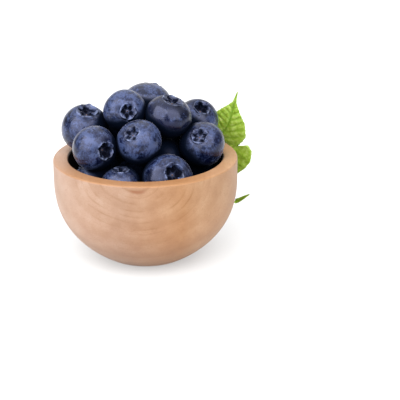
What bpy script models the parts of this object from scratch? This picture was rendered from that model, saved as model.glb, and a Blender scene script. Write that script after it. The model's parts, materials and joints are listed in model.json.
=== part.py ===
"""A small turned wooden bowl, heaped with blueberries, with a leafy sprig tucked in at the back.

The origin is at the centre of the bowl's foot, +Z is up, and the sprig is at the back right (+X, +Y).
Sizes are in millimetres and are turned into metres where the meshes are made.
"""

import math

import bmesh
import bpy
import numpy as np
from mathutils import Matrix, Vector

MM = 0.001

# Driving dimensions, mm
BOWL_RADIUS = 39.0
BOWL_HEIGHT = 44.0
WIDEST_HEIGHT = 35.5  # the wall is all but upright above this
FOOT_RADIUS = 17.0
RIM_OUTER = 38.9
RIM_INNER = 32.6
RIM_ROUND = 0.8
FLOOR_THICKNESS = 7.0
WALL_POWER, WALL_ROOT = 2.45, 1.45  # how the outer wall curves in to the foot
HOLLOW_POWER, HOLLOW_ROOT = 3.0, 2.0
BOWL_STEPS = 56

BERRY_SQUASH = 0.92  # height of a berry from scar to crown, to its width
BERRY_STEPS = 16
CROWN_RADIUS = 0.36  # of the berry's radius
PRESS = 0.3  # extra radius of each berry in the solid, so that those that touch join
DRAW_IN = 0.985  # the settled heap is drawn together by this much
GAP = 0.4  # clearance between the heap and the bowl
SEED = 12

# Berries that form the heap's face: name, place (x, y, z), radius, and the way the crown points
FACE_BERRIES = {
    "left_back": ((-25.7, 6.8, 54.4), 10.4, (0.23, -0.35, 0.91)),
    "left_front": ((-20.1, -13.9, 51.1), 9.2, (0.64, -0.76, 0.13)),
    "centre_high": ((-6.5, 2.3, 63.3), 9.0, (0.23, -0.94, 0.25)),
    "top": ((-1.2, 18.6, 60.5), 11.2, (0.2, 0.52, 0.83)),
    "centre_front": ((-0.6, -13.8, 52.3), 9.4, (-0.32, -0.66, 0.68)),
    "right_high": ((11.7, 0.1, 59.1), 9.8, (0.27, -0.18, 0.95)),
    "right_back": ((21.5, 17.0, 54.2), 9.8, (0.28, -0.48, 0.83)),
    "right_front": ((26.0, -0.4, 47.8), 9.7, (-0.15, -0.71, 0.68)),
    "low_left": ((-9.3, -20.5, 39.0), 7.8, (0.0, -0.05, 1.0)),
    "low_right": ((9.7, -20.7, 40.7), 10.4, (0.31, -0.75, 0.58)),
    "deep": ((6.5, 2.0, 41.0), 9.2, (0.3, 0.9, 0.2)),
}
# Rings of berries that fill the bowl and the heap's back: count, ring radius, height, first angle, step
FILL_RINGS = [
    (3, 10.0, 18.0, 90.0, 120.0),
    (6, 22.5, 30.0, -22.0, 47.0),
    (2, 9.0, 31.0, 60.0, 180.0),
    (2, 20.0, 44.0, 75.0, 60.0),
]
FILL_RADIUS = (8.8, 9.8)
# The fill under the berries: (radius, height) of its domed top, from the wall to the axis
FILL_TOP = [(31.7, 33.0), (29.0, 36.5), (21.0, 40.0), (11.0, 44.0), (0.0, 46.0)]

# Sprig: smooth routes through these points, mm
STEM_ROUTE = [(20.0, 20.4, 41.2), (22.9, 23.5, 45.3), (27.0, 27.6, 45.5), (30.4, 28.2, 45.2)]
STEM_RADIUS = 0.8
UPPER_MIDRIB = [(28.6, 27.9, 45.4), (33.2, 25.8, 46.6), (35.9, 24.6, 51.0), (37.3, 24.2, 56.5)]
UPPER_TIP = [(38.1, 24.0, 60.2), (39.2, 24.0, 64.6)]
LOWER_MIDRIB = [(29.0, 28.0, 45.4), (34.8, 26.4, 43.0), (37.6, 24.4, 37.0), (37.4, 23.0, 29.0)]
LOWER_TIP = [(36.6, 20.8, 20.2), (38.8, 18.4, 17.6), (44.1, 15.5, 21.2)]
LEAF_HALF_WIDTH = 8.4
LEAF_THICKNESS = 0.7
LEAF_STATIONS = 14
LEAF_COLUMNS = 4


def clear_scene():
    for thing in list(bpy.data.objects):
        bpy.data.objects.remove(thing, do_unlink=True)


def material(name, color, roughness):
    """A Principled material of one colour, given as linear RGB."""
    made = bpy.data.materials.new(name)
    made.use_nodes = True
    shader = made.node_tree.nodes["Principled BSDF"]
    shader.inputs["Base Color"].default_value = (*color, 1.0)
    shader.inputs["Roughness"].default_value = roughness
    made.diffuse_color = (*color, 1.0)
    return made


def add_object(name, mesh, finish, collection=None):
    thing = bpy.data.objects.new(name, mesh)
    mesh.materials.append(finish)
    (collection or bpy.context.scene.collection).objects.link(thing)
    return thing


def finish_mesh(name, bm, sharp_angle=40.0):
    """Closes, orients and scales a mesh that was drawn in millimetres."""
    bmesh.ops.remove_doubles(bm, verts=bm.verts, dist=1e-4)
    bmesh.ops.dissolve_degenerate(bm, edges=bm.edges, dist=1e-4)
    bmesh.ops.recalc_face_normals(bm, faces=bm.faces)
    bmesh.ops.scale(bm, vec=(MM, MM, MM), verts=bm.verts)
    mesh = bpy.data.meshes.new(name)
    bm.to_mesh(mesh)
    bm.free()
    mesh.shade_smooth()
    mesh.set_sharp_from_angle(angle=math.radians(sharp_angle))
    return mesh


def spin_profile(bm, profile, steps):
    """Turns (radius, height) points about the Z axis. The profile starts and ends on the axis."""
    points = [bm.verts.new((radius, 0.0, height)) for radius, height in profile]
    edges = [bm.edges.new(pair) for pair in zip(points, points[1:])]
    around = {"cent": (0, 0, 0), "axis": (0, 0, 1), "angle": 2 * math.pi}
    bmesh.ops.spin(bm, geom=points + edges, steps=steps, use_merge=True, **around)


def arc(centre, radius, start, end, steps):
    """Points on a round edge in the (radius, height) plane, from one angle to another in degrees."""
    angles = [math.radians(start + (end - start) * i / steps) for i in range(steps + 1)]
    return [(centre[0] + radius * math.cos(a), centre[1] + radius * math.sin(a)) for a in angles]


# Bowl


def outer_radius(height):
    """Outer radius of the bowl's wall below its widest height."""
    foot_share = (1 - (FOOT_RADIUS / BOWL_RADIUS) ** WALL_ROOT) ** (1 / WALL_POWER)
    drop = (WIDEST_HEIGHT - height) / WIDEST_HEIGHT * foot_share
    return BOWL_RADIUS * (1 - drop**WALL_POWER) ** (1 / WALL_ROOT)


def hollow_radius(height):
    """Inner radius of the hollow at a height between its floor and the rim's rounding."""
    top = BOWL_HEIGHT - RIM_ROUND
    drop = (top - height) / (top - FLOOR_THICKNESS)
    return RIM_INNER * max(0.0, 1 - drop**HOLLOW_POWER) ** (1 / HOLLOW_ROOT)


def hollow_profile(steps):
    """Points of the hollow from the rim's rounding down to the centre of the floor."""
    top = BOWL_HEIGHT - RIM_ROUND
    shares = [math.sin(math.pi / 2 * i / steps) for i in range(steps + 1)]
    heights = [top - (top - FLOOR_THICKNESS) * share for share in shares]
    return [(hollow_radius(height), height) for height in heights]


def bowl_profile():
    wall_steps = 9
    heights = [WIDEST_HEIGHT * (i / wall_steps) ** 1.3 for i in range(wall_steps + 1)]
    wall = [(outer_radius(height), height) for height in heights]
    outer_edge = arc((RIM_OUTER - RIM_ROUND, BOWL_HEIGHT - RIM_ROUND), RIM_ROUND, 0, 90, 2)
    inner_edge = arc((RIM_INNER + RIM_ROUND, BOWL_HEIGHT - RIM_ROUND), RIM_ROUND, 90, 180, 2)
    return [(0.0, 0.0)] + wall + outer_edge + inner_edge + hollow_profile(8)[1:]


def make_bowl(finish):
    bm = bmesh.new()
    spin_profile(bm, bowl_profile(), BOWL_STEPS)
    return add_object("bowl", finish_mesh("bowl", bm), finish)


# Berries


def push_from_wall(centres, radii):
    """Moves each berry clear of the bowl's hollow and rim."""
    wall = hollow_profile(40)
    wall += [(radius, BOWL_HEIGHT) for radius in np.linspace(RIM_INNER + RIM_ROUND, RIM_OUTER, 8)]
    wall = np.array(wall)
    reach = np.hypot(centres[:, 0], centres[:, 1])
    across = reach[:, None] - wall[:, 0]
    up = centres[:, 2][:, None] - wall[:, 1]
    apart = np.hypot(across, up)
    nearest = apart.argmin(axis=1)
    rows = np.arange(len(centres))
    distance = apart[rows, nearest]
    push = np.clip(radii + GAP + PRESS - distance, 0, None) / np.maximum(distance, 1e-6)
    outward = centres[:, :2] / np.maximum(reach, 1e-6)[:, None]
    centres[:, :2] += outward * (push * across[rows, nearest])[:, None]
    centres[:, 2] += push * up[rows, nearest]


def settle(centres, radii, held, rounds=900):
    """Lets the berries sink and pushes them apart until they rest on each other. Held ones hardly move."""
    homes = centres.copy()
    give = np.where(held, 0.1, 1.0)
    for turn in range(rounds):
        sink = 0.06 * (1 - turn / rounds)
        centres[:, 2] -= sink * ~held
        gaps = centres[:, None] - centres[None]
        apart = np.linalg.norm(gaps, axis=2) + np.eye(len(radii)) * 1e3
        overlap = np.clip(radii[:, None] + radii[None] - apart, 0, None)
        share = give[:, None] / (give[:, None] + give[None])
        centres += ((overlap * share / apart)[:, :, None] * gaps).sum(axis=1) * 0.7
        centres[held] += 0.05 * (homes - centres)[held]
        push_from_wall(centres, radii)
    return centres * DRAW_IN + (0, 0, BOWL_HEIGHT / 2 * (1 - DRAW_IN))


def place_berries():
    """Every berry as (centre, radius, crown direction), in millimetres."""
    pick = np.random.default_rng(SEED)
    centres, radii, crowns = (list(column) for column in zip(*FACE_BERRIES.values()))
    for count, ring, height, first, step in FILL_RINGS:
        for i in range(count):
            angle = math.radians(first + step * i)
            centres.append((ring * math.cos(angle), ring * math.sin(angle), height))
            radii.append(pick.uniform(*FILL_RADIUS))
            crowns.append(pick.normal(size=3) + (0, 0, 0.6))
    held = np.arange(len(centres)) < len(FACE_BERRIES)
    places = settle(np.array(centres, float), np.array(radii), held)
    return list(zip(places, radii, crowns))


def berry_profile():
    """Points of a berry of radius 1, from the scar at its foot over the side to the crown's ring and hollow."""
    angles = [math.radians(angle) for angle in range(156, 30, -24)]
    side = [(math.sin(a), BERRY_SQUASH * math.cos(a)) for a in angles]
    base = BERRY_SQUASH * math.sqrt(1 - CROWN_RADIUS**2)
    ring = [(CROWN_RADIUS, base + 0.05), (CROWN_RADIUS * 0.8, base + 0.04)]
    hollow = [(CROWN_RADIUS * 0.55, base - 0.08), (0.0, base - 0.1)]
    return [(0.0, -BERRY_SQUASH)] + side + ring + hollow


def make_heap(finish):
    """The fill and its berries, joined into one solid."""
    bm = bmesh.new()
    hollow = [(radius - GAP, height + GAP) for radius, height in hollow_profile(10)]
    below = [point for point in reversed(hollow) if point[1] < FILL_TOP[0][1] - 1]
    below[0] = (0.0, FLOOR_THICKNESS + GAP)
    spin_profile(bm, below + FILL_TOP, BOWL_STEPS // 2)
    heap = add_object("berry_heap", finish_mesh("berry_heap", bm), finish)

    cutters = bpy.data.collections.new("heap berries")
    bpy.context.scene.collection.children.link(cutters)
    for number, (centre, radius, crown) in enumerate(place_berries()):
        bm = bmesh.new()
        spin_profile(bm, berry_profile(), BERRY_STEPS)
        turn = Vector(crown).to_track_quat("Z", "Y").to_matrix().to_4x4()
        place = Matrix.Translation(Vector(centre)) @ turn @ Matrix.Scale(radius + PRESS, 4)
        bmesh.ops.transform(bm, matrix=place, verts=bm.verts)
        name = f"berry {number}"
        berry = add_object(name, finish_mesh(name, bm), finish, cutters)
        berry.hide_render = True
        berry.display_type = "WIRE"
        join = heap.modifiers.new(name, "BOOLEAN")
        join.operation = "UNION"
        join.solver = "EXACT"
        join.object = berry
    return heap


# Sprig


def smooth_route(points, steps):
    """Evenly spread points on a Catmull-Rom curve through the given ones."""
    knots = [Vector(point) for point in points]
    knots = [2 * knots[0] - knots[1]] + knots + [2 * knots[-1] - knots[-2]]
    dense = []
    for a, b, c, d in zip(knots, knots[1:], knots[2:], knots[3:]):
        for t in np.linspace(0, 1, 24, endpoint=False):
            bend = (2 * a - 5 * b + 4 * c - d) * t**2 + (3 * b - a - 3 * c + d) * t**3
            dense.append(0.5 * (2 * b + (c - a) * t + bend))
    dense.append(knots[-2])
    run = np.concatenate([[0], np.cumsum([(q - p).length for p, q in zip(dense, dense[1:])])])
    even = [np.interp(np.linspace(0, run[-1], steps + 1), run, [p[axis] for p in dense]) for axis in range(3)]
    return [Vector(point) for point in zip(*even)]


def directions(route):
    ahead = route[1:] + [2 * route[-1] - route[-2]]
    behind = [2 * route[0] - route[1]] + route[:-1]
    return [(b - a).normalized() for a, b in zip(behind, ahead)]


def loft(name, rings):
    """A closed solid through rings that hold the same number of points."""
    bm = bmesh.new()
    rows = [[bm.verts.new(point) for point in ring] for ring in rings]
    for low, high in zip(rows, rows[1:]):
        for i in range(len(low)):
            bm.faces.new((low[i - 1], low[i], high[i], high[i - 1]))
    caps = [bm.faces.new(end) for end in (rows[0], rows[-1])]
    bmesh.ops.triangulate(bm, faces=caps)
    return finish_mesh(name, bm)


def stem_mesh():
    route = smooth_route(STEM_ROUTE, 10)
    rings = []
    for point, ahead in zip(route, directions(route)):
        side = ahead.cross(Vector((0, 0, 1))).normalized()
        up = side.cross(ahead)
        corners = [2 * math.pi * i / 8 for i in range(8)]
        rings.append([point + STEM_RADIUS * (math.cos(a) * side + math.sin(a) * up) for a in corners])
    return loft("stem", rings)


def leaf_half_width(share, blade_end):
    """Half width of a leaf at a share of its length: a stalk, a broad blade and a drawn-out tip."""
    stalk_end = 0.12
    thin = 0.55 - 0.3 * share
    if not stalk_end < share < blade_end:
        return thin
    along = (share - stalk_end) / (blade_end - stalk_end)
    return thin + LEAF_HALF_WIDTH * math.sin(math.pi * along**0.62) ** 0.8


def leaf_mesh(name, midrib, tip, across):
    """A thin leaf whose blade spreads along the direction `across` and is folded a little at its midrib."""
    route = smooth_route(midrib + tip, LEAF_STATIONS)
    blade = smooth_route(midrib + tip[:1], LEAF_STATIONS)
    blade_length = sum((b - a).length for a, b in zip(blade, blade[1:]))
    whole_length = sum((b - a).length for a, b in zip(route, route[1:]))
    rings = []
    for i, (point, ahead) in enumerate(zip(route, directions(route))):
        side = (Vector(across) - ahead * ahead.dot(Vector(across))).normalized()
        face = side.cross(ahead)
        half = leaf_half_width(i / LEAF_STATIONS, blade_length / whole_length)
        spread = [2 * column / LEAF_COLUMNS - 1 for column in range(LEAF_COLUMNS + 1)]
        line = [point + side * half * s + face * 0.12 * half * abs(s) for s in spread]
        lift = face * LEAF_THICKNESS / 2
        rings.append([p + lift for p in line] + [p - lift for p in reversed(line)])
    return loft(name, rings)


def make_sprig(finish):
    """Stem and two leaves, joined into one solid."""
    sprig = add_object("leaf_sprig", stem_mesh(), finish)
    leaves = {
        "upper leaf": (UPPER_MIDRIB, UPPER_TIP, (0.95, -0.25, -0.1)),
        "lower leaf": (LOWER_MIDRIB, LOWER_TIP, (0.8, -0.6, 0.1)),
    }
    for name, shape in leaves.items():
        leaf = add_object(name, leaf_mesh(name, *shape), finish)
        leaf.hide_render = True
        leaf.display_type = "WIRE"
        join = sprig.modifiers.new(name, "BOOLEAN")
        join.operation = "UNION"
        join.solver = "EXACT"
        join.object = leaf
    return sprig


clear_scene()
make_bowl(material("pale wood", (0.66, 0.4, 0.23), 0.5))
make_heap(material("blueberry skin", (0.03, 0.045, 0.12), 0.45))
make_sprig(material("green leaf", (0.27, 0.42, 0.06), 0.45))
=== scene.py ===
import json
import math

import bpy
import numpy as np
from mathutils import Matrix, Vector

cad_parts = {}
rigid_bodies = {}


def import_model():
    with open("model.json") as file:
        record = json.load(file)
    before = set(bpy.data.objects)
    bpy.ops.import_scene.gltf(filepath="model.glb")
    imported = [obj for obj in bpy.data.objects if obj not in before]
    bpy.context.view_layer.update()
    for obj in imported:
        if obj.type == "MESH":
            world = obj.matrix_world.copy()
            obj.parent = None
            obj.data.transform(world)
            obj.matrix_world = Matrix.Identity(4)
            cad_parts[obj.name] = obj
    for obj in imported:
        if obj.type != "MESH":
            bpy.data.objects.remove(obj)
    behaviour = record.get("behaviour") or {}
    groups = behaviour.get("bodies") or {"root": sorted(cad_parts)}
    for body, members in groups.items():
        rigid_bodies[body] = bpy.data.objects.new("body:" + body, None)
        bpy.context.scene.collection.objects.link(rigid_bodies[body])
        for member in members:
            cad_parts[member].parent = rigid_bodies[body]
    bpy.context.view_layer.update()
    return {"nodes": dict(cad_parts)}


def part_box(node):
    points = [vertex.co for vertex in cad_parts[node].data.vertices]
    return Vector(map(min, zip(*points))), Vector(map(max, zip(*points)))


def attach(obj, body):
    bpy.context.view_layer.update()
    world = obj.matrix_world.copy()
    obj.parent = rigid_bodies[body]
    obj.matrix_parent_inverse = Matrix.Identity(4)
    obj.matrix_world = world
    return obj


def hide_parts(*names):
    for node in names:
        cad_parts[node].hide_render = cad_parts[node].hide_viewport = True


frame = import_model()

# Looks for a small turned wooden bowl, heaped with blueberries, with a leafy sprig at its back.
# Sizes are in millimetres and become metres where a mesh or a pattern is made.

mm = 0.001
bowlLow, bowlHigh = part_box("bowl")
print("frame loaded:", ", ".join(sorted(frame["nodes"])))


# small helpers for nodes, colours and meshes

def linearColor(hexText):
    # sRGB hex, as a painter would pick it, to the linear values that a shader takes
    parts = [int(hexText[i:i + 2], 16) / 255 for i in (1, 3, 5)]
    return tuple(c / 12.92 if c <= 0.04045 else ((c + 0.055) / 1.055) ** 2.4 for c in parts) + (1.0,)


def addNode(tree, kind, inputs=None, out=0, **settings):
    # adds one node; an input is a plain value or another node's output; gives back the wanted output
    node = tree.nodes.new(kind)
    for label, value in settings.items():
        setattr(node, label, value)
    for label, value in (inputs or {}).items():
        if isinstance(value, bpy.types.NodeSocket):
            tree.links.new(value, node.inputs[label])
        else:
            node.inputs[label].default_value = value
    return node.outputs[out]


def addRamp(tree, factor, stops):
    # a colour ramp from (place, hex or grey) pairs
    color = addNode(tree, "ShaderNodeValToRGB", {"Fac": factor})
    ramp = color.node.color_ramp
    while len(ramp.elements) < len(stops):
        ramp.elements.new(0.5)
    for element, (place, tint) in zip(ramp.elements, stops):
        element.position = place
        element.color = linearColor(tint) if isinstance(tint, str) else (tint, tint, tint, 1.0)
    return color


def doMath(tree, operation, *values):
    return addNode(tree, "ShaderNodeMath", dict(enumerate(values)), operation=operation)


def smoothStep(tree, value, start, end, low=0.0, high=1.0, curve="SMOOTHSTEP"):
    # goes from low to high while the value goes from start to end, and holds on both sides
    return addNode(tree, "ShaderNodeMapRange",
                   {"Value": value, "From Min": start, "From Max": end, "To Min": low, "To Max": high},
                   interpolation_type=curve)


def evenStep(tree, value, start, end, low=0.0, high=1.0):
    return smoothStep(tree, value, start, end, low, high, "LINEAR")


def addNoise(tree, place, patch, detail=2.0, roughness=0.5, distortion=0.0, out=0):
    # soft noise with patches of about so many millimetres
    return addNode(tree, "ShaderNodeTexNoise",
                   {"Vector": place, "Scale": 1 / (patch * mm), "Detail": detail, "Roughness": roughness,
                    "Distortion": distortion}, out)


def mixValue(tree, share, first, second):
    return addNode(tree, "ShaderNodeMix", {0: share, 2: first, 3: second}, data_type="FLOAT")


def mixColor(tree, share, under, over, blend="MIX"):
    # lays a colour over another by a share; the upper one is sRGB hex, linear values or a node's output
    over = linearColor(over) if isinstance(over, str) else over
    return addNode(tree, "ShaderNodeMix", {0: share, 6: under, 7: over}, out=2,
                   data_type="RGBA", blend_type=blend)


def inMetres(sizes):
    return [size * mm for size in sizes]


def newMaterial(name):
    made = bpy.data.materials.new(name)
    made.use_nodes = True
    tree = made.node_tree
    return made, tree, tree.nodes["Principled BSDF"]


def newTree(name, sizes):
    # a Geometry Nodes tree with a named input for each size; gives the tree, its inputs and its result
    tree = bpy.data.node_groups.new(name, "GeometryNodeTree")
    tree.interface.new_socket("Geometry", in_out="INPUT", socket_type="NodeSocketGeometry")
    for label, kind in sizes.items():
        tree.interface.new_socket(label, in_out="INPUT", socket_type="NodeSocket" + kind)
    tree.interface.new_socket("Geometry", in_out="OUTPUT", socket_type="NodeSocketGeometry")
    given = tree.nodes.new("NodeGroupInput").outputs
    return tree, given, tree.nodes.new("NodeGroupOutput").inputs[0]


def growMesh(name, base, tree, values):
    # runs a tree on a base mesh and keeps what it makes as a plain mesh
    source = bpy.data.objects.new(name + "Source", base)
    bpy.context.scene.collection.objects.link(source)
    grower = source.modifiers.new("grow", "NODES")
    grower.node_group = tree
    sockets = {s.name: s.identifier for s in tree.interface.items_tree if s.in_out == "INPUT"}
    for label, value in values.items():
        grower[sockets[label]] = value
    bpy.context.view_layer.update()
    ready = source.evaluated_get(bpy.context.evaluated_depsgraph_get())
    mesh = bpy.data.meshes.new_from_object(ready)
    mesh.name = name
    source.modifiers.remove(grower)
    bpy.data.objects.remove(source)
    mesh.shade_smooth()
    return mesh


def placePiece(name, mesh, node):
    piece = bpy.data.objects.new(name, mesh)
    bpy.context.scene.collection.objects.link(piece)
    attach(piece, "root")
    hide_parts(node)
    mesh.calc_loop_triangles()
    print(name, "has", len(mesh.loop_triangles), "triangles")
    return piece


def lineMesh(name, points):
    # a mesh of bare points in a row, for a tree to build on
    mesh = bpy.data.meshes.new(name)
    mesh.from_pydata([Vector(point) * mm for point in points], [], [])
    return mesh


def markShade(mesh, centres, radii, extra, owner=None):
    # keeps on each point how much light the berries around it take away, from 0 in the open to 1 deep down;
    # extra finds what else darkens a point, and owner is the number of the berry that it belongs to
    blocked = 0.97  # how much of the light a berry takes that touches the point straight ahead
    count = len(mesh.vertices)
    points, normals = np.empty(count * 3), np.empty(count * 3)
    mesh.vertices.foreach_get("co", points)
    mesh.vertices.foreach_get("normal", normals)
    points, normals = points.reshape(-1, 3) / mm, normals.reshape(-1, 3)
    light = np.ones(count)
    for number, (centre, radius) in enumerate(zip(centres, radii)):
        away = centre - points
        apart = np.maximum(np.linalg.norm(away, axis=1), radius)
        spread = radius / apart
        facing = np.clip(((away * normals).sum(axis=1) / apart + spread) / (1 + spread), 0, 1)
        other = owner != number if owner is not None else 1.0
        light *= 1 - blocked * facing * spread ** 2 * other
    light *= 1 - extra(points, normals)
    mesh.attributes.new("shade", "FLOAT", "POINT").data.foreach_set("value", 1 - light)


def arc(centre, radius, start, end, steps):
    angles = [math.radians(start + (end - start) * i / steps) for i in range(steps + 1)]
    return [(centre[0] + radius * math.cos(a), centre[1] + radius * math.sin(a)) for a in angles]


# bowl: one outline turned about the upright axis

bowlShape = {
    "radius": 39.0, "height": 44.0, "widestHeight": 35.5, "footRadius": 17.0,
    "rimOuter": 38.9, "rimInner": 32.6, "rimRound": 0.8, "rimCrown": 0.08, "floorThickness": 7.0,
    "footEase": 0.8,  # the foot's edge is eased up to here, where it meets the wall
    "wallPower": 2.45, "wallRoot": 1.45, "hollowPower": 3.0, "hollowRoot": 2.0,
    "stepsAround": 220, "wallSteps": 60, "hollowSteps": 40,
    "wobble": 0.12,  # about how far from true the turning and the drying left it
}


def outerRadius(height):
    b = bowlShape
    footShare = (1 - (b["footRadius"] / b["radius"]) ** b["wallRoot"]) ** (1 / b["wallPower"])
    drop = (b["widestHeight"] - height) / b["widestHeight"] * footShare
    return b["radius"] * (1 - drop ** b["wallPower"]) ** (1 / b["wallRoot"])


def hollowProfile(steps):
    # (radius, height) points of the hollow from the rim's rounding down to the middle of its floor
    b = bowlShape
    top = b["height"] - b["rimRound"]
    points = []
    for i in range(steps + 1):
        drop = math.sin(math.pi / 2 * i / steps)
        radius = b["rimInner"] * max(0.0, 1 - drop ** b["hollowPower"]) ** (1 / b["hollowRoot"])
        points.append((radius, top - (top - b["floorThickness"]) * drop))
    return points


def bowlProfile():
    b = bowlShape
    ease, base = b["footEase"], b["footRadius"]
    shares = [(i / b["wallSteps"]) ** 1.2 for i in range(b["wallSteps"] + 1)]
    heights = [ease + (b["widestHeight"] - ease) * share for share in shares]
    foot = [(0.0, 0.0), (base / 2, 0.0), (base - 0.6, 0.0), (base + 0.1, 0.25)]
    wall = [(outerRadius(height), height) for height in heights]
    edge = b["height"] - b["rimRound"]
    outerEdge = arc((b["rimOuter"] - b["rimRound"], edge), b["rimRound"], 0, 90, 8)
    innerEdge = arc((b["rimInner"] + b["rimRound"], edge), b["rimRound"], 90, 180, 8)
    crown = [((b["rimOuter"] + b["rimInner"]) / 2, b["height"] + b["rimCrown"])]
    return foot + wall + outerEdge + crown + innerEdge + hollowProfile(b["hollowSteps"])[1:]


def latheTree():
    # lays a grid of the outline's points by the steps around, then turns each column to its angle
    sizes = {"Steps Around": "Int", "Wobble": "Float", "Finish": "Material"}
    tree, given, result = newTree("turnOnLathe", sizes)
    rows = addNode(tree, "GeometryNodeAttributeDomainSize", {"Geometry": given["Geometry"]})
    columns = doMath(tree, "ADD", given["Steps Around"], 1.0)
    grid = addNode(tree, "GeometryNodeMeshGrid", {"Vertices X": rows, "Vertices Y": columns})
    index = addNode(tree, "GeometryNodeInputIndex")
    row = doMath(tree, "FLOOR", doMath(tree, "DIVIDE", index, columns))
    column = doMath(tree, "MODULO", index, columns)
    turn = doMath(tree, "DIVIDE", column, given["Steps Around"])
    angle = doMath(tree, "MULTIPLY", turn, 2 * math.pi)
    place = addNode(tree, "GeometryNodeInputPosition")
    outline = addNode(tree, "GeometryNodeSampleIndex",
                      {"Geometry": given["Geometry"], "Value": place, "Index": row}, data_type="FLOAT_VECTOR")
    turned = addNode(tree, "ShaderNodeVectorRotate", {"Vector": outline, "Angle": angle},
                     rotation_type="Z_AXIS")
    wave = addNode(tree, "ShaderNodeTexNoise", {"Vector": turned, "W": 4.0, "Scale": 22.0, "Detail": 0.0},
                   noise_dimensions="4D")
    wave = doMath(tree, "SUBTRACT", wave, 0.5)
    wave = doMath(tree, "MULTIPLY", wave, given["Wobble"])
    outward = addNode(tree, "ShaderNodeVectorMath", {0: turned, 1: (1.0, 1.0, 0.0)}, operation="MULTIPLY")
    outward = addNode(tree, "ShaderNodeVectorMath", {0: outward}, operation="NORMALIZE")
    shift = addNode(tree, "ShaderNodeVectorMath", {0: outward, "Scale": wave}, operation="SCALE")
    shape = addNode(tree, "GeometryNodeSetPosition", {"Geometry": grid, "Position": turned, "Offset": shift})
    closed = addNode(tree, "GeometryNodeMergeByDistance", {"Geometry": shape, "Distance": 2e-6})
    outside = addNode(tree, "GeometryNodeFlipFaces", {"Mesh": closed})
    whole = addNode(tree, "GeometryNodeRealizeInstances", {"Geometry": outside})
    whole = addNode(tree, "GeometryNodeSetMaterial", {"Geometry": whole, "Material": given["Finish"]})
    tree.links.new(whole, result)
    return tree


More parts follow.
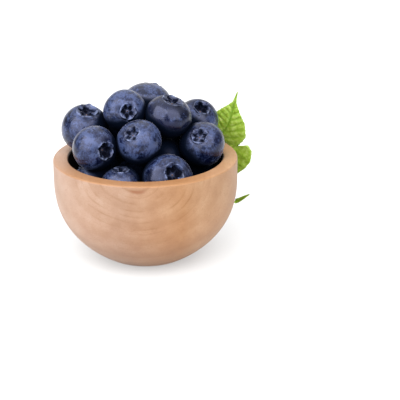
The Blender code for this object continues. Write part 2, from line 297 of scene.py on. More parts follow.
def waxedBeech():
    # beech, turned across the grain and waxed: pinkish tan, growth rings that show as arcs where the wall
    # cuts through them, fine pores and a satin shine
    finish, tree, shader = newMaterial("waxedBeech")
    grain = {
        "pith": (-3.0, 0.0, 47.0),  # the tree's heart line runs from front to back, just above the rim
        "squeeze": (0.78, 0.0, 1.0),  # the rings are wider than high, and the same all along that line
        "ringWidth": 2.6, "bandWidth": 7.9, "bandWeight": 0.22,
        "wander": 2.4, "wanderPatch": 26.0,  # how far the rings stray, and over what length
        "uneven": 3.5, "unevenPatch": 6.25,  # the same for the space between them
        "weightPatch": 8.0, "mottle": 5.5, "poreLength": 2.4, "poreWidth": 0.28,
        "faint": (15.0, 28.0),  # the rings grow faint from the first distance to the second
        "sapwood": (-36.0, 26.0),  # across the blank, from its sapwood side to the other
        "lowWallLight": (37.0, 15.0), "rimFlat": (43.3, 43.8), "rimFront": (-32.0, 5.0), "rimRight": (22.0, 36.0),
        "streakPlace": (-1.1, -39.0, 41.6), "streakReach": (4.2, 8.0, 2.8), "streakRing": 5.6,
        "streakWidth": (0.25, 1.1), "relief": 0.1,
    }
    place = addNode(tree, "ShaderNodeTexCoord", out="Object")
    centred = addNode(tree, "ShaderNodeMapping",
                      {"Vector": place, "Location": [-c * mm for c in grain["pith"]]}, vector_type="POINT")
    wander = addNoise(tree, centred, grain["wanderPatch"], 2.0, 0.45, out="Color")
    wander = addNode(tree, "ShaderNodeVectorMath", {0: wander, 1: (0.5, 0.5, 0.5)}, operation="SUBTRACT")
    wander = addNode(tree, "ShaderNodeVectorMath",
                     {0: wander, "Scale": 2 * grain["wander"] * mm}, operation="SCALE")
    bent = addNode(tree, "ShaderNodeVectorMath", {0: centred, 1: wander}, operation="ADD")
    across = addNode(tree, "ShaderNodeVectorMath", {0: bent, 1: grain["squeeze"]}, operation="MULTIPLY")
    reach = addNode(tree, "ShaderNodeVectorMath", {0: across}, out="Value", operation="LENGTH")
    steps = doMath(tree, "MULTIPLY", reach, 1 / (grain["unevenPatch"] * mm))
    spacing = addNode(tree, "ShaderNodeTexNoise", {"W": steps, "Scale": 1.0, "Detail": 1.0},
                      noise_dimensions="1D")
    uneven = doMath(tree, "ADD", reach, doMath(tree, "MULTIPLY", spacing, grain["uneven"] * mm))

    # each ring ends in its darker late wood, and broader bands take in a few rings
    lines = {}
    for label, profile in (("ringWidth", [(0.0, 0.15), (0.2, 0.0), (0.66, 0.15), (0.9, 1.0), (1.0, 0.15)]),
                           ("bandWidth", [(0.0, 0.5), (0.3, 0.1), (0.8, 1.0), (1.0, 0.5)])):
        year = doMath(tree, "DIVIDE", uneven, grain[label] * mm)
        lines[label] = addRamp(tree, doMath(tree, "FRACT", year), profile)

    # the rings come and go in patches, and are weaker far out and on the sapwood side
    weight = addRamp(tree, addNoise(tree, bent, grain["weightPatch"]), [(0.4, 0.06), (0.64, 0.48)])
    fade = smoothStep(tree, reach, *inMetres(grain["faint"]), 1.4, 0.2)
    side = addNode(tree, "ShaderNodeSeparateXYZ", {0: bent})
    drift = evenStep(tree, side, *inMetres(grain["sapwood"]))
    weight = doMath(tree, "MULTIPLY", weight, evenStep(tree, drift, 0.2, 0.45, 0.45, 1.0))
    ring = doMath(tree, "MULTIPLY", lines["ringWidth"], weight)
    ring = doMath(tree, "MULTIPLY", ring, fade)
    ring = doMath(tree, "ADD", ring, doMath(tree, "MULTIPLY", lines["bandWidth"], grain["bandWeight"]))

    mottle = addNoise(tree, bent, grain["mottle"], 4.0, 0.6)
    poreSize = [1 / (grain[label] * mm) for label in ("poreWidth", "poreLength", "poreWidth")]
    poreSpace = addNode(tree, "ShaderNodeMapping", {"Vector": bent, "Scale": poreSize})
    pores = addNode(tree, "ShaderNodeTexNoise",
                    {"Vector": poreSpace, "Scale": 1.0, "Detail": 2.0, "Roughness": 0.6})

    pale = addRamp(tree, mottle, [(0.3, "#937A69"), (0.5, "#9A8271"), (0.72, "#A08B7C")])
    color = mixColor(tree, ring, pale, "#7A593A")
    fleck = addRamp(tree, pores, [(0.32, 0.55), (0.46, 0.0)])
    color = mixColor(tree, fleck, color, "#7D5F45")

    # the blank is pinker and paler towards -X and a deeper tan towards +X: partly the sapwood's own colour,
    # partly painted light on the -X side, which faces the stronger softbox
    tintAndLight = addRamp(tree, drift, [(0.0, "#FBFAFE"), (0.33, "#E7DFDA"), (0.5, "#DBD0C7"), (0.88, "#E1C7A3"),
                                 (1.0, "#ECDBC1")])
    color = mixColor(tree, 1.0, color, tintAndLight, "MULTIPLY")

    # painted light: the wall is a little paler low down, standing in for the light that the floor throws up
    # onto it
    upright = addNode(tree, "ShaderNodeSeparateXYZ", {0: place}, out="Z")
    low = smoothStep(tree, upright, *inMetres(grain["lowWallLight"]))
    color = mixColor(tree, low, color, (1.2, 1.15, 1.12, 1.0), "MULTIPLY")

    # the flat of the rim is a deeper tan, most of all at the front and least at the right: partly the end
    # grain's own colour, partly painted shade on the upturned flat
    rimTanAndShade = smoothStep(tree, upright, *inMetres(grain["rimFlat"]), 0.0, 0.75)
    front = addNode(tree, "ShaderNodeSeparateXYZ", {0: place}, out="Y")
    front = smoothStep(tree, front, *inMetres(grain["rimFront"]), 1.0, 0.25)
    right = addNode(tree, "ShaderNodeSeparateXYZ", {0: place})
    right = smoothStep(tree, right, *inMetres(grain["rimRight"]), 1.0, 0.2)
    rimTanAndShade = doMath(tree, "MULTIPLY", doMath(tree, "MULTIPLY", rimTanAndShade, front), right)
    color = mixColor(tree, rimTanAndShade, color, "#7A5431")

    # a short brown streak that lies along an inner ring, on the front only
    offRing = doMath(tree, "ABSOLUTE", doMath(tree, "SUBTRACT", reach, grain["streakRing"] * mm))
    onRing = smoothStep(tree, offRing, *inMetres(grain["streakWidth"]), 1.0, 0.0)
    streakSpace = addNode(tree, "ShaderNodeMapping",
                          {"Vector": place, "Location": inMetres(grain["streakPlace"]),
                           "Scale": inMetres(grain["streakReach"])}, vector_type="TEXTURE")
    near = addNode(tree, "ShaderNodeVectorMath", {0: streakSpace}, out="Value", operation="LENGTH")
    near = smoothStep(tree, near, 0.3, 1.1, 0.6, 0.0)
    color = mixColor(tree, doMath(tree, "MULTIPLY", onRing, near), color, "#673D26")

    # where the berries and the wall keep the light out
    shade = addNode(tree, "ShaderNodeAttribute", out="Fac", attribute_name="shade")
    color = mixColor(tree, smoothStep(tree, shade, 0.6, 0.95), color, "#160E0A")

    tree.links.new(color, shader.inputs["Base Color"])
    tree.links.new(evenStep(tree, mottle, 0.0, 1.0, 0.4, 0.56), shader.inputs["Roughness"])
    shader.inputs["IOR"].default_value = 1.5
    shader.inputs["Specular IOR Level"].default_value = 0.28
    relief = doMath(tree, "ADD", pores, mottle)
    bump = addNode(tree, "ShaderNodeBump",
                   {"Height": relief, "Strength": 0.12, "Distance": grain["relief"] * mm})
    tree.links.new(bump, shader.inputs["Normal"])
    return finish


lathe = latheTree()
profile = lineMesh("bowlOutline", [(radius, 0.0, height) for radius, height in bowlProfile()])
bowlMesh = growMesh("turnedBowl", profile, lathe, {
    "Steps Around": bowlShape["stepsAround"], "Wobble": bowlShape["wobble"] * mm, "Finish": waxedBeech()})

# berries: where each one rests, by the same rule as the solid heap

heap = {
    "gap": 0.4, "press": 0.3,  # the berries keep these two clear of the wall while they settle
    "rounds": 900, "sink": 0.06,  # a loose berry sinks so far in the first round, and ever less after it
    "part": 0.7,  # the share of an overlap that a round takes away
    "give": 0.1, "hold": 0.05,  # a held berry gives way so much, and goes back by this share of its way home
    "drawIn": 0.985,  # at the end all draw together a little, so that they touch
    "seed": 12, "spinSeed": 5, "fillRadius": (8.8, 9.8),
    "face": [  # place, radius, the way the crown points, berry shape, and how much bloom is left
        ((-25.7, 6.8, 54.4), 10.4, (0.15, -0.3, 0.94), 2, 0.5),
        ((-20.1, -13.9, 51.1), 9.2, (0.64, -0.76, 0.13), 1, 0.5),
        ((-6.5, 2.3, 63.3), 9.0, (0.23, -0.94, 0.25), 0, 0.75),
        ((-1.2, 18.6, 60.5), 11.2, (0.2, 0.52, 0.83), 0, 0.4),
        ((-0.6, -13.8, 52.3), 9.4, (-0.32, -0.66, 0.68), 3, 0.7),
        ((11.7, 0.1, 59.1), 9.8, (0.27, -0.18, 0.95), 5, 0.05),
        ((21.5, 17.0, 54.2), 9.8, (0.28, -0.48, 0.83), 4, 0.4),
        ((26.0, -0.4, 47.8), 9.7, (-0.15, -0.71, 0.68), 3, 0.5),
        ((-9.3, -20.5, 39.0), 7.8, (0.0, -0.05, 1.0), 5, 0.5),
        ((9.7, -20.7, 40.7), 10.4, (0.31, -0.75, 0.58), 1, 0.5),
        ((6.5, 2.0, 41.0), 9.2, (0.3, 0.9, 0.2), 2, 0.1),
    ],
    "fill": [  # count, ring radius, height, first angle, step
        (3, 10.0, 18.0, 90.0, 120.0), (6, 22.5, 30.0, -22.0, 47.0),
        (2, 9.0, 31.0, 60.0, 180.0), (2, 20.0, 44.0, 75.0, 60.0),
    ],
}


def pushFromWall(centres, radii):
    # moves each berry away from the nearest point of the hollow and of the rim's flat
    b = bowlShape
    wall = hollowProfile(40)
    wall += [(radius, b["height"]) for radius in np.linspace(b["rimInner"] + b["rimRound"], b["rimOuter"], 8)]
    wall = np.array(wall)
    reach = np.hypot(centres[:, 0], centres[:, 1])
    across = reach[:, None] - wall[:, 0]
    up = centres[:, 2][:, None] - wall[:, 1]
    apart = np.hypot(across, up)
    nearest = apart.argmin(axis=1)
    rows = np.arange(len(centres))
    distance = apart[rows, nearest]
    push = np.clip(radii + heap["gap"] + heap["press"] - distance, 0, None) / np.maximum(distance, 1e-6)
    outward = centres[:, :2] / np.maximum(reach, 1e-6)[:, None]
    centres[:, :2] += outward * (push * across[rows, nearest])[:, None]
    centres[:, 2] += push * up[rows, nearest]


def settle(centres, radii, held):
    # the loose berries sink and push each other apart until they rest; held ones hardly move
    homes = centres.copy()
    give = np.where(held, heap["give"], 1.0)
    for turn in range(heap["rounds"]):
        centres[:, 2] -= heap["sink"] * (1 - turn / heap["rounds"]) * ~held
        gaps = centres[:, None] - centres[None]
        apart = np.linalg.norm(gaps, axis=2) + np.eye(len(radii)) * 1e3
        overlap = np.clip(radii[:, None] + radii[None] - apart, 0, None)
        share = give[:, None] / (give[:, None] + give[None])
        centres += ((overlap * share / apart)[:, :, None] * gaps).sum(axis=1) * heap["part"]
        centres[held] += heap["hold"] * (homes - centres)[held]
        pushFromWall(centres, radii)
    return centres * heap["drawIn"] + (0, 0, bowlShape["height"] / 2 * (1 - heap["drawIn"]))


def placeBerries():
    pick = np.random.default_rng(heap["seed"])
    centres, radii, crowns, shapes, blooms = (list(column) for column in zip(*heap["face"]))
    for count, ring, height, first, step in heap["fill"]:
        for i in range(count):
            angle = math.radians(first + step * i)
            centres.append((ring * math.cos(angle), ring * math.sin(angle), height))
            radii.append(pick.uniform(*heap["fillRadius"]))
            way = pick.normal(size=3) + (0, 0, 0.6)
            crowns.append((way[0], abs(way[1]), way[2]))  # the fill's crowns look up and to the back
            shapes.append(len(shapes) % len(berryShape["open"]))
            blooms.append(0.2 + 0.6 * (len(blooms) * 0.618 % 1))
    held = np.arange(len(centres)) < len(heap["face"])
    return settle(np.array(centres, float), np.array(radii), held), radii, crowns, shapes, blooms


# one berry of radius 1, its crown at the top: a recessed disc, five sepals folded in, a lip, the round body
# and the stem's scar

berryShape = {
    # a value for each berry shape: from sepals folded flat to a gaping crown, how much painted shade darkens
    # the disc inside them, and how wide the lip
    "open": [0.15, 0.95, 0.5, 0.3, 1.0, 0.3],
    "disc": [0.7, 0.85, 0.5, 0.05, 0.8, 0.05],
    "lip": [0.37, 0.39, 0.42, 0.35, 0.38, 0.47],
    "steps": 72, "bodyRows": 27, "sepals": 5, "squash": 0.92, "lump": 0.014, "lipRise": 0.055, "seed": 100,
    "pitDepth": (0.13, 0.24), "reach": (0.16, 0.23),  # of a crown folded flat and of a gaping one
}


def roundWave(pick, around, count):
    # a smooth uneven wave round the crown, from 0 to 1
    wave = sum(np.sin(around * (k + 1) + pick.uniform(0, 2 * math.pi)) * pick.uniform(0.5, 1.0)
               for k in range(count))
    return (wave - wave.min()) / (wave.max() - wave.min())


def berryMesh(number):
    s = berryShape
    pick = np.random.default_rng(s["seed"] + number)
    around = np.arange(s["steps"]) / s["steps"] * 2 * math.pi
    gape, disc, lipRadius = (s[label][number] for label in ("open", "disc", "lip"))
    low, high = s["reach"]
    reach = (low + (high - low) * gape) * pick.uniform(0.8, 1.25, s["sepals"])
    lift = pick.uniform(0.0, 1.0, s["sepals"])
    shift = pick.uniform(-0.1, 0.1, s["sepals"])
    turn = (around + 0.13 * np.sin(2 * around + pick.uniform(0, 6))) / (2 * math.pi) * s["sepals"]
    which = np.floor(turn).astype(int) % s["sepals"]
    notch = np.clip(np.abs((turn % 1) - 0.5 + shift[which]) * 2, 0, 1)  # 0 mid sepal, 1 in the gap beside it
    ragged, bright, shade = (roundWave(pick, around, count) for count in (9, 6, 5))
    lip = lipRadius * (0.91 + 0.16 * ragged)
    inner = reach[which] + (lip - 0.04 - reach[which]) * notch ** (1.1 - 0.3 * gape)
    rise = s["lipRise"] * (1 - notch ** 4) * (0.4 + 0.7 * lift[which] + 0.5 * ragged) * (0.7 + 0.6 * gape)
    base = s["squash"] * math.sqrt(1 - (lipRadius + 0.06) ** 2)
    one = np.ones(s["steps"])

    rows, marks = [], []  # (radius, height) around, and what part of the crown each row is

    def addRow(radius, height, flap=0.0, pitShade=0.0, dot=0.0, scar=0.0):
        rows.append((radius * one, height * one))
        marks.append([part * one for part in (flap, pitShade, dot, scar)])

    # painted shade: the pit marks darken the sunken disc, the gaps between the sepals and the skin just
    # outside the ring
    # the disc, with the stub of the flower's style in its middle
    depth = s["pitDepth"][0] + (s["pitDepth"][1] - s["pitDepth"][0]) * gape
    floor = base - depth
    addRow(0.012, floor + 0.03, dot=1.0)
    addRow(0.022, floor + 0.02, dot=0.8)
    addRow(0.042, floor + 0.004, flap=0.15, pitShade=0.4 * disc)
    for share in (0.3, 0.55, 0.8):
        addRow(0.042 + (inner - 0.042) * share, floor + 0.02 * share * ragged, flap=0.4 * (1 - disc) * bright,
               pitShade=np.clip(disc * (0.6 + 0.4 * share) + 1.6 * share ** 0.5 * notch, 0, 1))

    # up from the disc and out over the sepals to the ring's crest, then down to the skin
    addRow(inner - 0.012, floor + 0.01, pitShade=np.maximum(disc, notch))
    addRow(inner, floor + 0.6 * depth * (1 - 0.4 * notch), pitShade=0.3 + 0.6 * disc)
    for share in (0.08, 0.35, 0.68):
        addRow(inner + (lip - 0.035 - inner) * share,
               base - (0.06 - 0.04 * lift[which]) * (1 - share) + rise * 0.6 * share,
               flap=(0.05 + 0.4 * share) * (1.2 - disc) * (0.3 + 0.7 * bright), pitShade=0.9 * notch ** 3)
    addRow(lip - 0.02, base + rise * 0.9, flap=0.1 + 0.9 * bright ** (1.5 + 2 * gape), pitShade=0.85 * notch ** 4)
    addRow(lip - 0.002, base + rise, flap=0.1 + 0.9 * bright ** (1.5 + 2 * gape), pitShade=0.75 * notch ** 5)
    addRow(lip + 0.016, base + rise * 0.75, flap=0.2 + 0.4 * bright, pitShade=0.5 * notch ** 8)
    addRow(lip + 0.036, base + rise * 0.05 - 0.02 * notch ** 4 - 0.012 * shade, pitShade=0.85 * shade ** 2)

    # the round body, down to the scar
    start = math.asin(lipRadius + 0.07)
    for i in range(s["bodyRows"]):
        angle = start + (math.pi - start) * (i / s["bodyRows"]) ** 0.95
        radius, height = math.sin(angle), s["squash"] * math.cos(angle)
        beside = max(0.0, 1 - i / 3)  # the skin beside the ring lies in its shade
        nearScar = max(0.0, 1 - radius / 0.22) if angle > math.pi / 2 else 0.0
        addRow(radius, height + 0.07 * nearScar - 0.008 * beside * shade,
               scar=1.0 if nearScar > 0.45 else 0.0, pitShade=0.6 * beside * shade ** 2)

    radius = np.array([row[0] for row in rows])
    height = np.array([row[1] for row in rows])
    points = np.stack([radius * np.cos(around), radius * np.sin(around), height], -1).reshape(-1, 3)
    points = np.vstack([[(0, 0, floor + 0.04)], points, [(0, 0, -s["squash"] + 0.075)]])
    swell = np.zeros(len(points))  # a few broad waves make each berry a little uneven
    for way in pick.normal(size=(5, 3)):
        swell += s["lump"] * np.sin(points @ way * 1.6 + pick.uniform(0, 6.28))
    points = points * (1 + swell[:, None]) * (1.0, pick.uniform(0.97, 1.02), pick.uniform(0.97, 1.03))

    steps, count = s["steps"], len(rows)
    faces = [(0, 1 + i, 1 + (i + 1) % steps) for i in range(steps)]
    for j in range(count - 1):
        low, high = 1 + j * steps, 1 + (j + 1) * steps
        faces += [(low + i, high + i, high + (i + 1) % steps, low + (i + 1) % steps) for i in range(steps)]
    end = 1 + (count - 1) * steps
    faces += [(end + i, len(points) - 1, end + (i + 1) % steps) for i in range(steps)]
    mesh = bpy.data.meshes.new(f"berryShape{number}")
    mesh.from_pydata(points.tolist(), [], faces)
    for label, part in zip(("flap", "pitShade", "dot", "scar"), range(4)):
        middle = np.array([mark[part] for mark in marks]).ravel().tolist()
        values = [float(label == "dot")] + middle + [float(label == "scar")]
        mesh.attributes.new(label, "FLOAT", "POINT").data.foreach_set("value", values)
    mesh.attributes.new("ownPlace", "FLOAT_VECTOR", "POINT").data.foreach_set("vector", points.ravel())
    return mesh


def berryTree():
    # puts one of the berry shapes on each resting point, turned and sized by that point's own values
    tree, given, result = newTree("heapBerries", {"Shapes": "Collection", "Finish": "Material"})
    shapes = addNode(tree, "GeometryNodeCollectionInfo",
                     {"Collection": given["Shapes"], "Separate Children": True, "Reset Children": True})
    named = {label: addNode(tree, "GeometryNodeInputNamedAttribute", {"Name": label}, data_type=kind)
             for label, kind in (("shape", "INT"), ("turn", "QUATERNION"), ("size", "FLOAT"))}
    placed = addNode(tree, "GeometryNodeInstanceOnPoints",
                     {"Points": given["Geometry"], "Instance": shapes, "Pick Instance": True,
                      "Instance Index": named["shape"], "Rotation": named["turn"], "Scale": named["size"]})
    whole = addNode(tree, "GeometryNodeRealizeInstances", {"Geometry": placed})
    whole = addNode(tree, "GeometryNodeSetMaterial", {"Geometry": whole, "Material": given["Finish"]})
    tree.links.new(whole, result)
    return tree


def bloomedSkin():
    # ripe blueberry skin: navy, nearly black, under a pale waxy bloom that handling has rubbed off in
    # patches; the wax scatters light softly, and the bare skin under it is smoother
    finish, tree, shader = newMaterial("bloomedSkin")
    size = {"cloud": 7.5, "patch": 3.4, "rub": 1.7, "speck": 0.8, "tint": 8.0, "relief": 0.2}
    place = addNode(tree, "ShaderNodeTexCoord", out="Object")
    part = {label: addNode(tree, "ShaderNodeAttribute", out="Fac", attribute_name=label)
            for label in ("flap", "pitShade", "dot", "scar", "tone", "shade")}
    noise = {}
    for label, detail in (("cloud", 2.0), ("patch", 5.0), ("rub", 4.0), ("speck", 2.0), ("tint", 2.0)):
        noise[label] = addNoise(tree, place, size[label], detail, 0.6, 0.4)
    patch = mixValue(tree, 0.4, noise["patch"], noise["rub"])
    patch = mixValue(tree, 0.36, patch, noise["speck"])
    mixed = mixValue(tree, 0.3, patch, noise["cloud"])
    mixed = doMath(tree, "ADD", mixed, evenStep(tree, part["tone"], 0.0, 1.0, -0.07, 0.05))
    bloom = addRamp(tree, mixed, [(0.45, 0.0), (0.5, 0.4), (0.545, 1.0)])
    skin = addRamp(tree, noise["tint"], [(0.4, "#020515"), (0.56, "#04081F"), (0.74, "#0C0917")])
    color = mixColor(tree, bloom, skin, "#2A3451")
    worn = addRamp(tree, noise["rub"], [(0.4, 0.08), (0.6, 1.0)])
    lipBloom = doMath(tree, "MULTIPLY", part["flap"], worn)
    color = mixColor(tree, lipBloom, color, "#69728C")
    # the pit mark is painted shade, nearly black; the style's stub and the scar are their own browns
    for label, tint in (("pitShade", "#05060E"), ("dot", "#523A23"), ("scar", "#362B23")):
        color = mixColor(tree, part[label], color, tint)
    # painted shade: where the berries around and the bowl keep the light out, the skin is painted darker
    deep = smoothStep(tree, part["shade"], 0.5, 0.76)
    color = mixColor(tree, deep, color, "#030712")
    tree.links.new(color, shader.inputs["Base Color"])
    # in that painted shade and in the crown's painted pits, the shine and the sheen are taken away as well
    inShade = doMath(tree, "MAXIMUM", part["pitShade"], deep)
    gloss = evenStep(tree, bloom, 0.0, 1.0, 0.18, 0.3)
    for label, clean, dulled in (("Roughness", gloss, 0.8), ("Specular IOR Level", 0.33, 0.02),
                                 ("Sheen Weight", 0.2, 0.0)):
        tree.links.new(mixValue(tree, inShade, clean, dulled), shader.inputs[label])
    shader.inputs["IOR"].default_value = 1.65
    shader.inputs["Specular Tint"].default_value = linearColor("#C4CAF0")
    shader.inputs["Sheen Roughness"].default_value = 0.25
    shader.inputs["Sheen Tint"].default_value = linearColor("#DAD8EE")
    bump = addNode(tree, "ShaderNodeBump",
                   {"Height": patch, "Strength": 0.6, "Distance": size["relief"] * mm})
    tree.links.new(bump, shader.inputs["Normal"])
    return finish


shading = {
    "hollow": ((0.72, 1.0), (0.28, 6.0)),  # shares of the light, and the depth over which each one goes
    "sunk": (0.95, 4.5), "sunkBelow": 3.0,  # the same, and how far below the rim it begins
    "underside": 0.6,
}


def hollowShade(points, normals):
    # the hollow, whose faces look at the axis, gets darker from the rim down; the foot, below 1 mm, does not
    inward = (points[:, :2] * normals[:, :2]).sum(axis=1) < 0
    depth = bowlShape["height"] - bowlShape["rimRound"] - points[:, 2]
    dark = sum(share * np.clip(depth / full, 0, 1) for share, full in shading["hollow"])
    return np.where(inward & (points[:, 2] > 1), dark, 0)


def sunkShade(points, normals):
    # berries down in the bowl lie in the shade of its rim, and their undersides in the shade of the heap
    share, full = shading["sunk"]
    depth = bowlShape["height"] - shading["sunkBelow"] - points[:, 2]
    under = shading["underside"] * np.clip(-normals[:, 2], 0, 1)
    return np.maximum(share * np.clip(depth / full, 0, 1), under)


places, radii, crowns, shapeNumbers, blooms = placeBerries()
markShade(bowlMesh, places, radii, hollowShade)
placePiece("turnedBowl", bowlMesh, "bowl")
pick = np.random.default_rng(heap["spinSeed"])
restPoints = lineMesh("restPoints", places)
turns = []
for crown in crowns:
    spin = Matrix.Rotation(pick.uniform(0, 2 * math.pi), 4, "Z").to_quaternion()
    turns += list(Vector(crown).to_track_quat("Z", "Y") @ spin)
for label, kind, values in (("turn", "QUATERNION", turns), ("size", "FLOAT", inMetres(radii)),
                            ("shape", "INT", shapeNumbers), ("tone", "FLOAT", blooms)):
    restPoints.attributes.new(label, kind, "POINT").data.foreach_set("value", values)

shapeBox = bpy.data.collections.new("berryShapes")
for number in range(len(berryShape["open"])):
    shapeBox.objects.link(bpy.data.objects.new(f"berryShape{number}", berryMesh(number)))
skin = bloomedSkin()
berries = growMesh("berries", restPoints, berryTree(), {"Shapes": shapeBox, "Finish": skin})
for shape in list(shapeBox.objects):
    bpy.data.objects.remove(shape)
owner = np.arange(len(berries.vertices)) * len(places) // len(berries.vertices)
markShade(berries, places, radii, sunkShade, owner)
placePiece("berries", berries, "berry_heap")


# the dark fill that the berries rest in, below all that shows

coreShape = {
    "top": [(29.0, 27.0), (24.0, 31.0), (14.0, 34.0), (0.0, 35.0)],  # radius and height, from the edge in
    "stepsAround": 64, "wallSteps": 16, "edgeDrop": 1.0,
}


def coreProfile():
    # up the hollow, just clear of its wall, to a little below the top's edge
    gap = heap["gap"]
    hollow = [(radius - gap, height + gap) for radius, height in hollowProfile(coreShape["wallSteps"])]
    below = [point for point in reversed(hollow) if point[1] < coreShape["top"][0][1] - coreShape["edgeDrop"]]
    below[0] = (0.0, bowlShape["floorThickness"] + gap)
    return below + coreShape["top"]


profile = lineMesh("coreOutline", [(radius, 0.0, height) for radius, height in coreProfile()])
core = growMesh("berryCore", profile, lathe, {
    "Steps Around": coreShape["stepsAround"], "Wobble": 0.0, "Finish": skin})
placePiece("berryCore", core, "berry_heap")


# sprig: a stem and two leaves, each a folded blade with sunken veins and a finely toothed edge

sprig = {
    "stem": [(20.0, 20.4, 41.2), (22.9, 23.5, 45.3), (27.0, 27.6, 45.5), (30.4, 28.2, 45.2)],
    "stemRadius": 0.75, "stemSides": 14, "stemStations": 28,
    "knots": 0.18,  # the share by which the stem is thicker there
    "leaves": {  # outline rows: share of the length, half widths, and how far the edge sweeps back
        "upper": {
            "midrib": [(28.6, 27.9, 45.4), (33.2, 25.8, 46.6), (35.9, 24.6, 51.0), (37.3, 24.2, 56.5),
                       (38.1, 24.0, 60.2), (39.5, 24.0, 65.3)],
            "across": (0.95, -0.25, -0.1), "bladeEnd": 0.8,
            "outline": [(0.0, 0.5, 0.5, 0), (0.08, 0.6, 1.2, 0), (0.15, 5.0, 6.5, 0), (0.2, 7.2, 8.6, 0),
                        (0.3, 8.8, 9.3, 0), (0.36, 9.0, 9.4, 0), (0.45, 8.6, 7.6, 0), (0.5, 8.0, 6.8, 0),
                        (0.55, 7.1, 5.4, 0), (0.65, 4.6, 3.4, 0), (0.75, 2.1, 1.8, 0), (0.81, 0.85, 0.9, 0),
                        (0.88, 0.55, 0.55, 0), (1.0, 0.2, 0.2, 0)],
        },
        "lower": {
            "midrib": [(29.0, 28.0, 45.4), (34.8, 26.4, 43.0), (37.6, 24.4, 37.0), (37.4, 23.0, 29.0),
                       (36.6, 20.8, 19.2), (38.8, 18.4, 16.2), (45.1, 15.3, 20.6)],
            "across": (0.8, -0.6, 0.1), "bladeEnd": 0.62,
            "outline": [(0.0, 0.5, 0.5, 0), (0.2, 0.6, 0.6, 0), (0.24, 1.5, 1.6, 0), (0.27, 5.0, 6.0, 0.7),
                        (0.3, 7.0, 8.2, 2.5), (0.34, 8.0, 9.3, 2.9), (0.42, 8.0, 8.4, 2.4),
                        (0.47, 6.8, 6.0, 1.1), (0.51, 5.4, 2.9, 0.7), (0.57, 3.4, 2.0, 0.3),
                        (0.66, 2.0, 1.6, 0), (0.76, 1.1, 1.1, 0), (0.84, 1.0, 1.0, 0),
                        (0.92, 0.7, 0.7, 0), (1.0, 0.2, 0.2, 0)],
        },
    },
    "thickness": 0.4, "stations": 150, "columns": 24, "toothLength": 1.1, "toothDepth": 0.3, "fold": 0.12,
    "veinPairs": 7, "veinSlant": 0.75, "veinDepth": 0.16, "veinWidth": 0.4, "ribWidth": 0.56, "puff": 0.3,
    "toothFrom": 3.0, "ribFrom": 1.5,  # half widths of the blade from which these have their full size
}


def smoothRoute(points, steps):
    # evenly spread points on a Catmull-Rom curve through the given ones, and the curve's length
    knots = [Vector(point) for point in points]
    knots = [2 * knots[0] - knots[1]] + knots + [2 * knots[-1] - knots[-2]]
    dense = []
    for a, b, c, d in zip(knots, knots[1:], knots[2:], knots[3:]):
        for t in np.linspace(0, 1, 24, endpoint=False):
            bend = (2 * a - 5 * b + 4 * c - d) * t**2 + (3 * b - a - 3 * c + d) * t**3
            dense.append(0.5 * (2 * b + (c - a) * t + bend))
    dense.append(knots[-2])
    run = np.concatenate([[0], np.cumsum([(q - p).length for p, q in zip(dense, dense[1:])])])
    even = [np.interp(np.linspace(0, run[-1], steps + 1), run, [p[axis] for p in dense]) for axis in range(3)]
    return [Vector(point) for point in zip(*even)], run[-1]


def directions(route):
    ahead = route[1:] + [2 * route[-1] - route[-2]]
    behind = [2 * route[0] - route[1]] + route[:-1]
    return [(b - a).normalized() for a, b in zip(behind, ahead)]


def loftMesh(name, rings, veins):
    # a closed skin through rings that hold the same number of points, each with its share of vein colour
    points = [point * mm for ring in rings for point in ring]
    count = len(rings[0])
    faces = []
    for j in range(len(rings) - 1):
        low, high = j * count, (j + 1) * count
        faces += [(low + i, low + (i + 1) % count, high + (i + 1) % count, high + i) for i in range(count)]
    last = (len(rings) - 1) * count
    half = count // 2
    for start, flip in ((0, True), (last, False)):  # each end is closed by a ladder of quads
        for i in range(half - 1):
            quad = (start + i, start + i + 1, start + count - 2 - i, start + count - 1 - i)
            faces.append(quad[::-1] if flip else quad)
    mesh = bpy.data.meshes.new(name)
    mesh.from_pydata(points, [], faces)
    mesh.attributes.new("vein", "FLOAT", "POINT").data.foreach_set("value", veins)
    mesh.shade_smooth()
    return mesh


def leafMesh(name, leaf):
    s = sprig
    route, length = smoothRoute(leaf["midrib"], s["stations"])
    spread = np.linspace(-1, 1, s["columns"] + 1)
    shares, left, right, sweeps = zip(*leaf["outline"])
    rings, veins = [], []
    for i, (point, ahead) in enumerate(zip(route, directions(route))):
        share = i / s["stations"]
        side = (Vector(leaf["across"]) - ahead * ahead.dot(Vector(leaf["across"]))).normalized()
        face = side.cross(ahead)
        run = share * length
        line, marks = [], []
        for c in spread:
            half = np.interp(share, shares, right if c > 0 else left)
            tooth = s["toothDepth"] * ((run / s["toothLength"]) % 1) * abs(c) ** 6
            tooth *= min(1.0, half / s["toothFrom"])
            out = (half + tooth) * c
            back = run - abs(out) * s["veinSlant"]  # where a side vein through here leaves the midrib
            gap = length * leaf["bladeEnd"] / s["veinPairs"]
            off = abs((back / gap + 0.5) % 1 - 0.5) * gap
            sideVein = math.exp(-(off / s["veinWidth"]) ** 2) * (1 - abs(c) ** 4)
            rib = math.exp(-(out / s["ribWidth"]) ** 2) * min(1.0, half / s["ribFrom"])
            vein = max(rib, 0.7 * sideVein)
            lift = s["fold"] * abs(out) - s["veinDepth"] * vein
            lift += s["puff"] * math.sin(math.pi * off / gap) * min(1.0, abs(out) / 2) * (1 - abs(c) ** 3)
            sweep = np.interp(share, shares, sweeps) * c * c
            line.append(point + side * out + face * lift - ahead * sweep)
            marks.append(vein)
        up = face * s["thickness"] / 2
        rings.append([p + up for p in line] + [p - up for p in reversed(line)])
        veins += marks + marks[::-1]
    return loftMesh(name, rings, veins)


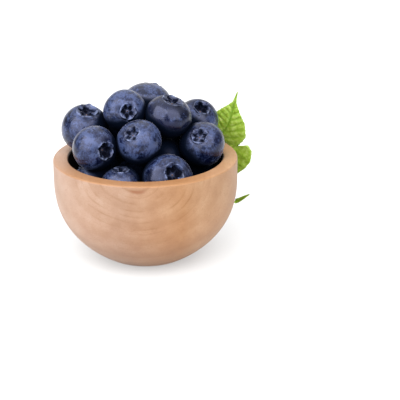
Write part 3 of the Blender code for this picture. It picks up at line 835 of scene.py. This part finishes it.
def stemMesh():
    route = smoothRoute(sprig["stem"], sprig["stemStations"])[0]
    sides = sprig["stemSides"]
    corners = [2 * math.pi * k / sides for k in range(sides)]
    rings = []
    for i, (point, ahead) in enumerate(zip(route, directions(route))):
        side = Vector((0, 0, 1)).cross(ahead).normalized()
        up = ahead.cross(side)
        radius = sprig["stemRadius"] * (1 + sprig["knots"] * math.cos(i * 0.9) ** 6)
        rings.append([point + radius * (math.cos(a) * side + math.sin(a) * up) for a in corners])
    return loftMesh("stem", rings, [0.6] * (sides * len(rings)))


def freshLeaf():
    # a fresh leaf: waxy and bright yellow-green, paler between its veins, and thin enough to glow a little
    finish, tree, shader = newMaterial("freshLeaf")
    place = addNode(tree, "ShaderNodeTexCoord", out="Object")
    vein = addNode(tree, "ShaderNodeAttribute", out="Fac", attribute_name="vein")
    size = {"mottle": 1.6, "cell": 0.9, "glow": 0.6, "relief": 0.12}
    mottle = addNoise(tree, place, size["mottle"], 5.0, 0.6)
    cells = addNode(tree, "ShaderNodeTexVoronoi", {"Vector": place, "Scale": 1 / (size["cell"] * mm)},
                    feature="F1")
    color = addRamp(tree, mottle, [(0.34, "#5E7618"), (0.5, "#738B2C"), (0.66, "#8A9C4D")])
    color = mixColor(tree, vein, color, "#537016")
    tree.links.new(color, shader.inputs["Base Color"])
    shader.inputs["Roughness"].default_value = 0.42
    shader.inputs["IOR"].default_value = 1.45
    shader.inputs["Specular IOR Level"].default_value = 0.3
    shader.inputs["Subsurface Weight"].default_value = 0.25
    shader.inputs["Subsurface Radius"].default_value = (0.4, 0.8, 0.15)
    shader.inputs["Subsurface Scale"].default_value = size["glow"] * mm
    bump = addNode(tree, "ShaderNodeBump",
                   {"Height": cells, "Strength": 0.25, "Distance": size["relief"] * mm})
    tree.links.new(bump, shader.inputs["Normal"])
    return finish


leafFinish = freshLeaf()
green = {"stem": stemMesh()}
for side, leaf in sprig["leaves"].items():
    green[side + "Leaf"] = leafMesh(side + "Leaf", leaf)
for name, mesh in green.items():
    mesh.materials.append(leafFinish)
    placePiece(name, mesh, "leaf_sprig")


# floor, light and camera

stage = {
    "floorReach": 4000, "floorDrop": 0.2, "glow": (30, 250),  # the floor glows more from near to far
    "distance": 700,
    "left": {"watts": 12.8, "turn": -42.0, "tilt": 35.0, "size": (880, 920)},
    "right": {"watts": 7.0, "turn": 38.0, "tilt": 35.0, "size": (720, 740)},
    "around": 0.3, "overhead": 2.4, "behind": 1.1,  # the room in front, the ceiling, and the backdrop
    "ceilingEdge": (0.35, 0.95), "backdropEdge": (0.45, 0.9),  # where these two begin and are full
}


def paperWhite():
    # white backdrop paper, lit from below as on a light table
    finish, tree, shader = newMaterial("paperWhite")
    shader.inputs["Base Color"].default_value = linearColor("#989898")
    shader.inputs["Roughness"].default_value = 0.9
    shader.inputs["Emission Color"].default_value = (1.0, 1.0, 1.0, 1.0)
    place = addNode(tree, "ShaderNodeTexCoord", out="Object")
    reach = addNode(tree, "ShaderNodeVectorMath", {0: place}, out="Value", operation="LENGTH")
    glow = smoothStep(tree, reach, *inMetres(stage["glow"]), 0.4, 0.65)
    tree.links.new(glow, shader.inputs["Emission Strength"])
    return finish


floorMesh = bpy.data.meshes.new("paperFloor")
reach, drop = stage["floorReach"] * mm, stage["floorDrop"] * mm
corners = [(-reach, -reach), (reach, -reach), (reach, reach), (-reach, reach)]
floorMesh.from_pydata([(x, y, -drop) for x, y in corners], [], [(0, 1, 2, 3)])
floorMesh.materials.append(paperWhite())
floor = bpy.data.objects.new("paperFloor", floorMesh)
bpy.context.scene.collection.objects.link(floor)

rimCentre = Vector(((bowlLow.x + bowlHigh.x) / 2, (bowlLow.y + bowlHigh.y) / 2, bowlHigh.z))
for name in ("left", "right"):
    tilt, turn = math.radians(stage[name]["tilt"]), math.radians(stage[name]["turn"])
    towards = Vector((math.sin(turn) * math.cos(tilt), -math.cos(turn) * math.cos(tilt), math.sin(tilt)))
    light = bpy.data.lights.new(name + "Softbox", "AREA")
    light.shape = "RECTANGLE"
    light.size, light.size_y = inMetres(stage[name]["size"])
    light.energy = stage[name]["watts"]
    box = bpy.data.objects.new(name + "Softbox", light)
    box.location = rimCentre + towards * stage["distance"] * mm
    box.rotation_euler = (-towards).to_track_quat("-Z", "Y").to_euler()
    bpy.context.scene.collection.objects.link(box)

world = bpy.data.worlds.new("whiteStudio")
world.use_nodes = True
sky = world.node_tree
way = addNode(sky, "ShaderNodeTexCoord", out="Generated")
height = addNode(sky, "ShaderNodeSeparateXYZ", {0: way}, out="Z")
depth = addNode(sky, "ShaderNodeSeparateXYZ", {0: way}, out="Y")
ceiling = evenStep(sky, height, *stage["ceilingEdge"], stage["around"], stage["overhead"])
backdrop = smoothStep(sky, depth, *stage["backdropEdge"], 0.0, stage["behind"])
glow = doMath(sky, "MAXIMUM", ceiling, backdrop)
sky.links.new(glow, sky.nodes["Background"].inputs["Strength"])
sky.nodes["Background"].inputs["Color"].default_value = (1.0, 1.0, 1.0, 1.0)
bpy.context.scene.world = world
bpy.context.scene.view_settings.view_transform = "Standard"

view = {"pitch": 20.85, "distance": 423.64, "right": 23.04, "drop": 18.96, "lens": 90.0}
pitch = math.radians(view["pitch"])
ahead, up = Vector((0, math.cos(pitch), -math.sin(pitch))), Vector((0, math.sin(pitch), math.cos(pitch)))
camera = bpy.data.objects.new("camera", bpy.data.cameras.new("camera"))
camera.data.lens = view["lens"]
camera.data.sensor_width = 36.0
offset = view["right"] * Vector((1, 0, 0)) - view["drop"] * up - view["distance"] * ahead
camera.location = rimCentre + mm * offset
camera.rotation_euler = (math.pi / 2 - pitch, 0.0, 0.0)
bpy.context.scene.collection.objects.link(camera)
bpy.context.scene.camera = camera
print("camera and light set")
